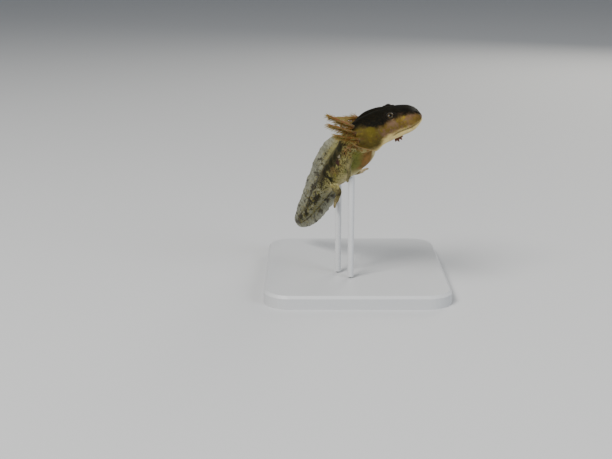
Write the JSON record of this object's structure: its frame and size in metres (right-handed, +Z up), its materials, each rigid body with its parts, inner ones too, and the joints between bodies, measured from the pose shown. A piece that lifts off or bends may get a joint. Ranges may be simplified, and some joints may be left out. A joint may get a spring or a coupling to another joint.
{
  "type": "baby axolotl display model",
  "caption": "Life-size still model of a baby axolotl, head raised and tail hanging down behind, held by two short rods on a flat display base.",
  "frame": {"origin": "centre of the whole model's outline, at the underside of the stand's base", "axes": "+Z up from the base; +X towards the snout, which the head points at; the tail hangs towards -X and +Y"},
  "size_m": [0.036, 0.04, 0.0371],
  "materials": {
    "skin": "wet, smooth, mottled olive and near black over a paler belly",
    "fins": "wet, thin, partly see-through, with dark speckles",
    "gills": "wet, soft, orange-red with pale tips",
    "eyes": "glossy, dark with a thin golden ring",
    "stand": "plain satin grey"
  },
  "bodies": {
    "root": {"dorsal_fin": "fins", "eye_left": "eyes", "eye_right": "eyes", "foreleg_left": "skin", "foreleg_right": "skin", "gill_left_1": "gills", "gill_left_2": "gills", "gill_left_3": "gills", "gill_right_1": "gills", "gill_right_2": "gills", "gill_right_3": "gills", "head": "skin", "hindleg_left": "skin", "hindleg_right": "skin", "stand_base": "stand", "stand_rod_front": "stand", "stand_rod_rear": "stand", "tail": "skin", "tail_fin_lower": "fins", "tail_fin_upper": "fins", "torso": "skin"}
  },
  "joints": []
}
